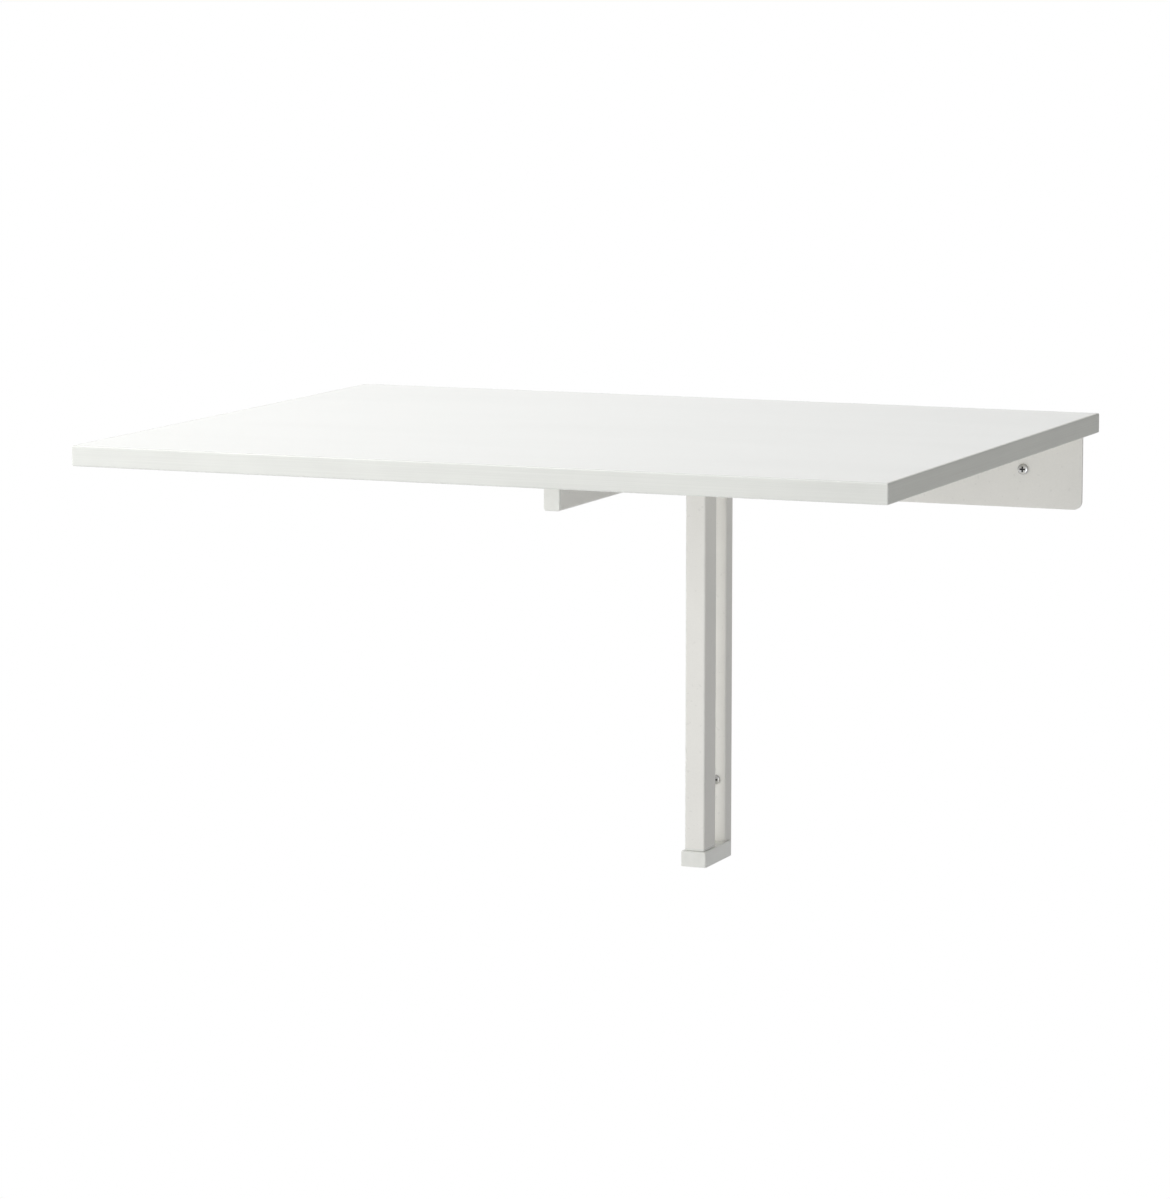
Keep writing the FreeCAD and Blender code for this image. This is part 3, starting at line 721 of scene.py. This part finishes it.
@dataclass(frozen=True)
class CrossHeadScrew:
    """A pan head screw with a cross recess and a cut thread, along +Z from its head's seat to its tip."""

    head_radius: float
    head_height: float
    neck_radius: float
    thread_radius: float
    core_radius: float
    thread_pitch: float
    tip_length: float
    recess_reach: float
    recess_half_width: float
    recess_depth: float
    crown: float = 0.35 * MM
    recess_taper: float = 0.45
    crown_shares: tuple[float, ...] = (0.0, 0.12, 0.55, 1.0)
    shoulder_share: float = 1 / 3
    shoulder_leans: tuple[float, ...] = (math.radians(30), math.radians(60), math.radians(90))
    lip_share: float = 1 / 12
    crest_slope: float = 3.2
    side_steps: int = 4
    steps_in_pitch: int = 6
    least_sine: float = 1e-6

    def angles(self) -> list[float]:
        """Angles round the axis that take in every corner of the cross.

        Returns:
            The angles, in order round the turn.
        """
        arm = math.atan2(self.recess_half_width, self.recess_reach)
        step = (EIGHTH_TURN - arm) / self.side_steps
        beside = [arm + number * step for number in range(self.side_steps)]
        quarter = [-angle for angle in reversed(beside)] + [0.0] + beside + [EIGHTH_TURN]
        return [turn + angle for turn in even_angles(CROSS_ARMS) for angle in quarter]

    def cross(self, angle: float, scale: float) -> float:
        """How far the cross's outline is from the axis at an angle.

        Args:
            angle: the angle about the axis.
            scale: the outline's scale.

        Returns:
            The distance.
        """
        from_arm = abs((angle + EIGHTH_TURN) % QUARTER_TURN - EIGHTH_TURN)
        end = self.recess_reach / math.cos(from_arm)
        side = self.recess_half_width / max(math.sin(from_arm), self.least_sine)
        return scale * min(end, side)

    def head(self) -> list[Ring]:
        """The head, with its recess.

        Returns:
            Its rings, from the recess's floor over the crown to the seat.
        """
        angles = self.angles()
        shoulder = self.head_radius - self.shoulder_share * self.head_height
        floor_level = self.recess_depth - self.head_height
        rings = [[on_turn(self.cross(angle, self.recess_taper), angle, floor_level) for angle in angles]]
        for share in self.crown_shares:
            ring = []
            for angle in angles:
                inner = self.cross(angle, 1.0)
                radius = inner + share * (shoulder - inner)
                level = self.crown * (radius / shoulder) ** 2 - self.head_height
                ring.append(on_turn(radius, angle, level))
            rings.append(ring)
        drop = self.head_height / 2 - self.crown
        for lean in self.shoulder_leans:
            radius = shoulder + (self.head_radius - shoulder) * math.sin(lean)
            rings.append(circle(radius, -self.head_height / 2 - drop * math.cos(lean), angles))
        lip = self.lip_share * self.head_height
        rings.append(circle(self.head_radius, -lip, angles))
        rings.append(circle(self.head_radius - lip, 0.0, angles))
        return rings

    def thread(self, start: float, end: float) -> list[Ring]:
        """The thread's rings, with the crest winding up the shank and fading into the tip.

        Args:
            start: where the thread leaves the neck.
            end: the screw's tip.

        Returns:
            The rings.
        """
        angles = self.angles()
        step = self.thread_pitch / self.steps_in_pitch
        rings = []
        for number in range(1, int((end - start) / step)):
            level = start + number * step
            taper = min(1.0, (end - level) / self.tip_length)
            rise = min(1.0, (level - start) / self.thread_pitch)
            ring = []
            for angle in angles:
                phase = (level / self.thread_pitch - angle / FULL_TURN) % 1.0
                crest = max(0.0, 1.0 - self.crest_slope * abs(phase - 0.5))
                radius = taper * (self.core_radius + rise * crest * (self.thread_radius - self.core_radius))
                ring.append(on_turn(radius, angle, level))
            rings.append(ring)
        return rings

    def add_to(self, mesh: bmesh.types.BMesh, place: Matrix, neck: float, length: float) -> None:
        """Add the screw to a mesh.

        Args:
            mesh: what it is added to.
            place: its frame, with +Z from the head's seat to the tip.
            neck: the plain length under the head.
            length: the length from seat to tip.
        """
        angles = self.angles()
        shank = [circle(self.neck_radius, 0.0, angles), circle(self.neck_radius, neck, angles)]
        # The first ring, down in the recess, takes the finish with the painted shade.
        loft(mesh, self.head() + shank + self.thread(neck, length), place, sunk=1)


@dataclass
class WallFixings:
    """The rail, post and foot on the wall, and the screws that hold them there."""

    screw: CrossHeadScrew = CrossHeadScrew(
        head_radius=5.0 * MM, head_height=3.0 * MM, neck_radius=1.8 * MM, thread_radius=2.4 * MM,
        core_radius=1.65 * MM, thread_pitch=2.2 * MM, tip_length=6.0 * MM, recess_reach=2.7 * MM,
        recess_half_width=0.75 * MM, recess_depth=2.1 * MM,
    )

    def build(self) -> None:
        """Drive a screw into the wall where each wall screw's node is."""
        into_wall = Matrix.Rotation(-QUARTER_TURN, 4, "X")
        for node, sides in (("rail_wall_screws", (-1, 1)), ("post_wall_screw", (0,))):
            low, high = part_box(node)
            middle = (low + high) / 2
            head_radius = (high.z - low.z) / 2
            reach = (high.x - low.x) / 2 - head_radius
            seat = low.y + self.screw.head_height
            screw = replace(self.screw, head_radius=head_radius)
            mesh = bmesh.new()
            for side in sides:
                place = Matrix.Translation((middle.x + side * reach, seat, middle.z)) @ into_wall
                screw.add_to(mesh, place, -seat, high.y - seat)
            new_piece(f"{node}_cross_head", mesh, SCREW_FINISHES, Body.WALL_FRAME, node)

    def dress(self) -> None:
        """Coat the steel and finish the foot's mouldings."""
        dress_nodes({
            "wall_rail": COAT,
            "wall_post": COAT,
            "foot_bearing": PLASTIC,
            "foot_bush": TURNED_BEARING,
            "thrust_washer_ring": TURNED_BEARING,
            "shelf_bush": TURNED_BEARING,
        })


@dataclass(frozen=True)
class DomeRivet:
    """A rivet with a domed head at either end, along +Z from the seat of its lower head."""

    radius: float = 2.0 * MM
    head_radius: float = 3.2 * MM
    head_height: float = 1.2 * MM
    points: int = 28
    dome_steps: int = 6

    def dome(self, seat: float, way: int) -> list[Ring]:
        """A head's rings, from its crown to its rim.

        Args:
            seat: the level of the head's seat.
            way: 1 for a head above its seat and -1 for one below it.

        Returns:
            The rings.
        """
        angles = even_angles(self.points)
        rings = []
        for number in range(1, self.dome_steps + 1):
            lean = QUARTER_TURN * number / self.dome_steps
            level = seat + way * self.head_height * math.cos(lean)
            rings.append(circle(self.head_radius * math.sin(lean), level, angles))
        return rings

    def add_to(self, mesh: bmesh.types.BMesh, place: Matrix, grip: float) -> None:
        """Add the rivet to a mesh.

        Args:
            mesh: what it is added to.
            place: its frame.
            grip: the thickness that it holds together.
        """
        angles = even_angles(self.points)
        shank = [circle(self.radius, 0.0, angles), circle(self.radius, grip, angles)]
        loft(mesh, self.dome(0.0, -1) + shank + self.dome(grip, 1)[::-1], place)


BOARD_SCREW = CrossHeadScrew(
    head_radius=3.4 * MM, head_height=1.8 * MM, neck_radius=1.5 * MM, thread_radius=1.9 * MM,
    core_radius=1.3 * MM, thread_pitch=1.6 * MM, tip_length=3.5 * MM, recess_reach=1.9 * MM,
    recess_half_width=0.55 * MM, recess_depth=1.3 * MM, crown=0.25 * MM,
)


def add_board_screw(mesh: bmesh.types.BMesh, screw: CrossHeadScrew, x: float, y: float, node: str) -> None:
    """Add a screw that is driven up into the board, at the levels of its node.

    Args:
        mesh: what it is added to.
        screw: its kind.
        x: the screw's place along the wall.
        y: the screw's distance from the wall, below zero.
        node: the node of such screws.
    """
    low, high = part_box(node)
    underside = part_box("table_board")[0].z
    seat = low.z + screw.head_height
    screw.add_to(mesh, Matrix.Translation((x, y, seat)), underside - seat, high.z - seat)


@dataclass
class HingePair:
    """Two butt hinges: their leaves and pins, with rivets to the shelf and screws to the board."""

    hole_pitch: float = 22 * MM
    hole_distance: float = 18 * MM
    rivet: DomeRivet = DomeRivet()
    screw: CrossHeadScrew = BOARD_SCREW

    def holes(self) -> list[float]:
        """Where both hinges' rows of holes are.

        Returns:
            Their places along the wall.
        """
        pins = [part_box(f"{side.value}_hinge_pin") for side in Side]
        middles = [(low.x + high.x) / 2 for low, high in pins]
        return [middle + step * self.hole_pitch for middle in middles for step in (-1, 0, 1)]

    def build(self) -> None:
        """Set a rivet or a screw in each hole."""
        low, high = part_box("left_hinge_pin")
        pin_y = (low.y + high.y) / 2
        low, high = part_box("hinge_rivets")
        seat = low.z + self.rivet.head_height
        grip = high.z - self.rivet.head_height - seat
        rivets, screws = bmesh.new(), bmesh.new()
        for x in self.holes():
            self.rivet.add_to(rivets, Matrix.Translation((x, pin_y + self.hole_distance, seat)), grip)
            add_board_screw(screws, self.screw, x, pin_y - self.hole_distance, "hinge_screws")
        new_piece("hinge_rivets_domed", rivets, (ZINC,), Body.WALL_FRAME, "hinge_rivets")
        new_piece("hinge_screws_cross_head", screws, SCREW_FINISHES, Body.LEAF, "hinge_screws")

    def dress(self) -> None:
        """Plate the leaves and pins."""
        kinds = ("shelf_leaf", "board_leaf", "pin")
        dress_nodes({f"{side.value}_hinge_{kind}": ZINC for side in Side for kind in kinds})


@dataclass
class Leaf:
    """The table leaf: a foiled board in four bands, with the rest that the arm bears on."""

    screw: CrossHeadScrew = BOARD_SCREW

    def build(self) -> None:
        """Drive the rest's two screws."""
        node = "arm_rest_screws"
        low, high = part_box(node)
        mesh = bmesh.new()
        for y in (low.y + self.screw.head_radius, high.y - self.screw.head_radius):
            add_board_screw(mesh, self.screw, (low.x + high.x) / 2, y, node)
        new_piece(f"{node}_cross_head", mesh, SCREW_FINISHES, Body.LEAF, node)

    def dress(self) -> None:
        """Foil the board and finish its bands and the rest."""
        dress_nodes({
            "table_board": FOIL,
            "front_edge_band": BAND_ALONG_X,
            "rear_edge_band": BAND_ALONG_X,
            # The end bands take the edging copy with painted shade.
            "left_edge_band": SHADED_BAND_ALONG_Y,
            "right_edge_band": SHADED_BAND_ALONG_Y,
            "arm_rest": MOULDED_BEARING,
        })


@dataclass
class Gate:
    """The swinging gate: an upright on two pivots, and an arm welded to its face."""

    bead_radius: float = 1.6 * MM
    ripple_pitch: float = 1.9 * MM
    ripple_share: float = 0.07
    bead_corner: float = 2.5 * MM
    bead_points: int = 14
    bead_crease: float = math.radians(80)
    steps_in_ripple: int = 4
    end_share: float = 0.45
    end_growth: float = 0.2

    def bead_line(self) -> list[Vector]:
        """The weld's line on the upright's face: down one side of the arm, under it and up the other side.

        Returns:
            Points along the line, a few to each ripple.
        """
        low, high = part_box("support_arm")
        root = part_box("gate_upright")[0].y
        corner = self.bead_corner
        step = self.ripple_pitch / self.steps_in_ripple
        top = high.z - 2 * self.bead_radius
        down = math.ceil((top - low.z - corner) / step)
        line = [
            Vector((high.x, root, top + (low.z + corner - top) * number / down)) for number in range(down)
        ]
        round_steps = math.ceil(corner * QUARTER_TURN / step)
        for number in range(round_steps):
            lean = QUARTER_TURN * number / round_steps
            line.append(Vector((
                high.x - corner + corner * math.cos(lean), root, low.z + corner - corner * math.sin(lean),
            )))
        under = math.ceil((high.x - corner) / step)
        line += [Vector(((high.x - corner) * (1 - number / under), root, low.z)) for number in range(under)]
        mirrored = [Vector((-point.x, point.y, point.z)) for point in reversed(line)]
        return line + [Vector((0.0, root, low.z))] + mirrored

    def bead_rings(self) -> list[Ring]:
        """The weld's skin, which swells and shrinks with its ripples and narrows at its ends.

        Returns:
            Rings along the weld's line.
        """
        line = self.bead_line()
        rings = []
        for number, point in enumerate(line):
            before, after = line[max(number - 1, 0)], line[min(number + 1, len(line) - 1)]
            along = (after - before).normalized()
            across = along.cross(OFF_THE_WALL)
            ripple = 1 + self.ripple_share * math.cos(FULL_TURN * number / self.steps_in_ripple)
            from_end = min(number, len(line) - 1 - number)
            fade = min(1.0, self.end_share + self.end_growth * from_end)
            radius = self.bead_radius * ripple * fade
            rings.append([
                point + radius * (math.cos(angle) * across + math.sin(angle) * OFF_THE_WALL)
                for angle in even_angles(self.bead_points)
            ])
        return rings

    def build(self) -> None:
        """Lay the weld round the arm's root."""
        mesh = bmesh.new()
        loft(mesh, self.bead_rings(), Matrix())
        new_piece("arm_weld_bead", mesh, (COAT,), Body.GATE, crease=self.bead_crease)

    def dress(self) -> None:
        """Coat the tubes and finish the plugs, pins, cap and glide."""
        dress_nodes({
            "gate_upright": COAT,
            "support_arm": COAT,
            "upper_pivot_plug": PLASTIC,
            "lower_pivot_plug": PLASTIC,
            "arm_end_cap": PLASTIC,
            "arm_glide": MOULDED_BEARING,
            "upper_pivot_pin": ZINC_UPRIGHT,
            "lower_pivot_pin": ZINC_UPRIGHT,
        })


@dataclass(frozen=True)
class Softbox:
    """A square lamp of even light, which glossy surfaces mirror or not."""

    name: str
    place: Triple
    width: float
    level: float
    mirrored: bool = True

    def light(self, aim: Vector) -> None:
        """Hang the lamp and turn it to its aim.

        Args:
            aim: the point where a surface that faces the lamp gets its level of light.
        """
        way = Vector(self.place) - aim
        lamp = bpy.data.lights.new(self.name, "AREA")
        lamp.size = self.width
        lamp.energy = self.level * FULL_SPHERE * way.length_squared
        placed = bpy.data.objects.new(self.name, lamp)
        placed.location = self.place
        placed.rotation_mode = "QUATERNION"
        placed.rotation_quaternion = way.to_track_quat("Z", "Y")
        placed.visible_camera = False
        placed.visible_glossy = self.mirrored
        bpy.context.scene.collection.objects.link(placed)


@dataclass
class Studio:
    """A white floor, soft light from the front left and a camera where the photographer stood."""

    boxes: tuple[Softbox, ...] = (
        Softbox("high_softbox", (-1.4, -0.7, 2.3), 1.6, 0.62),
        Softbox("left_softbox", (-1.5, -2.7, 0.1), 1.4, 0.385, mirrored=False),
        Softbox("low_softbox", (1.2, -3.2, -0.8), 0.9, 0.12),
        Softbox("back_softbox", (-1.7, 2.9, -0.6), 1.4, 0.25, mirrored=False),
    )
    sky_level: float = 0.3
    floor_level: float = -2.2
    floor_half: float = 60.0
    floor_bounce: float = 0.85
    shadow_share: float = 0.35
    shadow_near: float = 0.9
    shadow_far: float = 2.0
    image_height: int = 1199
    sensor: float = 36.0
    focal_pixels: float = 4857.2
    stand: Triple = (1.6126, -4.2778, 0.5062)
    heading: float = math.radians(22.29)
    look_down: float = 0.14

    def build(self) -> None:
        """Lay the floor, hang the lamps, set the sky and stand the camera."""
        bpy.context.scene.view_settings.view_transform = "Standard"
        self.lay_floor()
        low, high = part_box("table_board")
        for box in self.boxes:
            box.light((low + high) / 2)
        self.set_sky()
        self.stand_camera()

    def lay_floor(self) -> None:
        """A wide floor, white to the eye, with shadows near the table, and clear when seen from below.

        It gives back part of the light that falls on it.
        """
        half = self.floor_half
        mesh = bpy.data.meshes.new("studio_floor")
        corners = [(-half, -half), (half, -half), (half, half), (-half, half)]
        mesh.from_pydata([(x, y, self.floor_level) for x, y in corners], [], [(0, 1, 2, 3)])
        floor = bpy.data.objects.new("studio_floor", mesh)
        bpy.context.scene.collection.objects.link(floor)
        material = bpy.data.materials.new("studio_floor")
        material.use_nodes = True
        graph = Graph(material.node_tree)
        distance = graph.vector("DISTANCE", graph.place(), (0.0, 0.0, self.floor_level), "Value")
        near = 1 - graph.step(distance, self.shadow_near, self.shadow_far)
        bounce, matt = (
            graph.add("ShaderNodeBsdfDiffuse", inputs={"Color": opaque(WHITE, level)})
            for level in (self.floor_bounce, 1.0)
        )
        glow = graph.add("ShaderNodeEmission", inputs={"Color": opaque(WHITE), "Strength": 1.0})
        shown = graph.add("ShaderNodeMixShader", inputs={0: self.shadow_share * near, 1: glow, 2: matt})
        upper = graph.add("ShaderNodeMixShader", inputs={0: graph.seen_directly(), 1: bounce, 2: shown})
        below = graph.add("ShaderNodeNewGeometry", output="Backfacing")
        clear = graph.add("ShaderNodeBsdfTransparent")
        mixed = graph.add("ShaderNodeMixShader", inputs={0: below, 1: upper, 2: clear})
        graph.fill(material.node_tree.get_output_node("ALL"), {"Surface": mixed})
        mesh.materials.append(material)

    def set_sky(self) -> None:
        """Even light from all round, and plain white to the eye."""
        world = bpy.data.worlds.new("studio_sky")
        world.use_nodes = True
        bpy.context.scene.world = world
        graph = Graph(world.node_tree)
        light, white = (
            graph.add("ShaderNodeBackground", inputs={"Color": opaque(WHITE, level), "Strength": 1.0})
            for level in (self.sky_level, 1.0)
        )
        mixed = graph.add("ShaderNodeMixShader", inputs={0: graph.seen_directly(), 1: light, 2: white})
        graph.fill(world.node_tree.get_output_node("ALL"), {"Surface": mixed})

    def stand_camera(self) -> None:
        """The camera, by where it stands, its heading, how far it looks down and its focal length."""
        camera = bpy.data.cameras.new("camera")
        camera.sensor_width = self.sensor
        camera.lens = self.sensor * self.focal_pixels / self.image_height
        placed = bpy.data.objects.new("camera", camera)
        placed.location = self.stand
        placed.rotation_euler = (QUARTER_TURN - self.look_down, 0.0, self.heading)
        bpy.context.scene.collection.objects.link(placed)
        bpy.context.scene.camera = placed


def main() -> None:
    """Build and dress the sub-assemblies in order, then the studio round them."""
    logging.basicConfig(level=logging.INFO, format="%(name)s %(message)s")
    for assembly in (WallFixings(), HingePair(), Leaf(), Gate()):
        log.info("%s", type(assembly).__name__)
        assembly.build()
        assembly.dress()
    Studio().build()


if __name__ == "__main__":
    main()
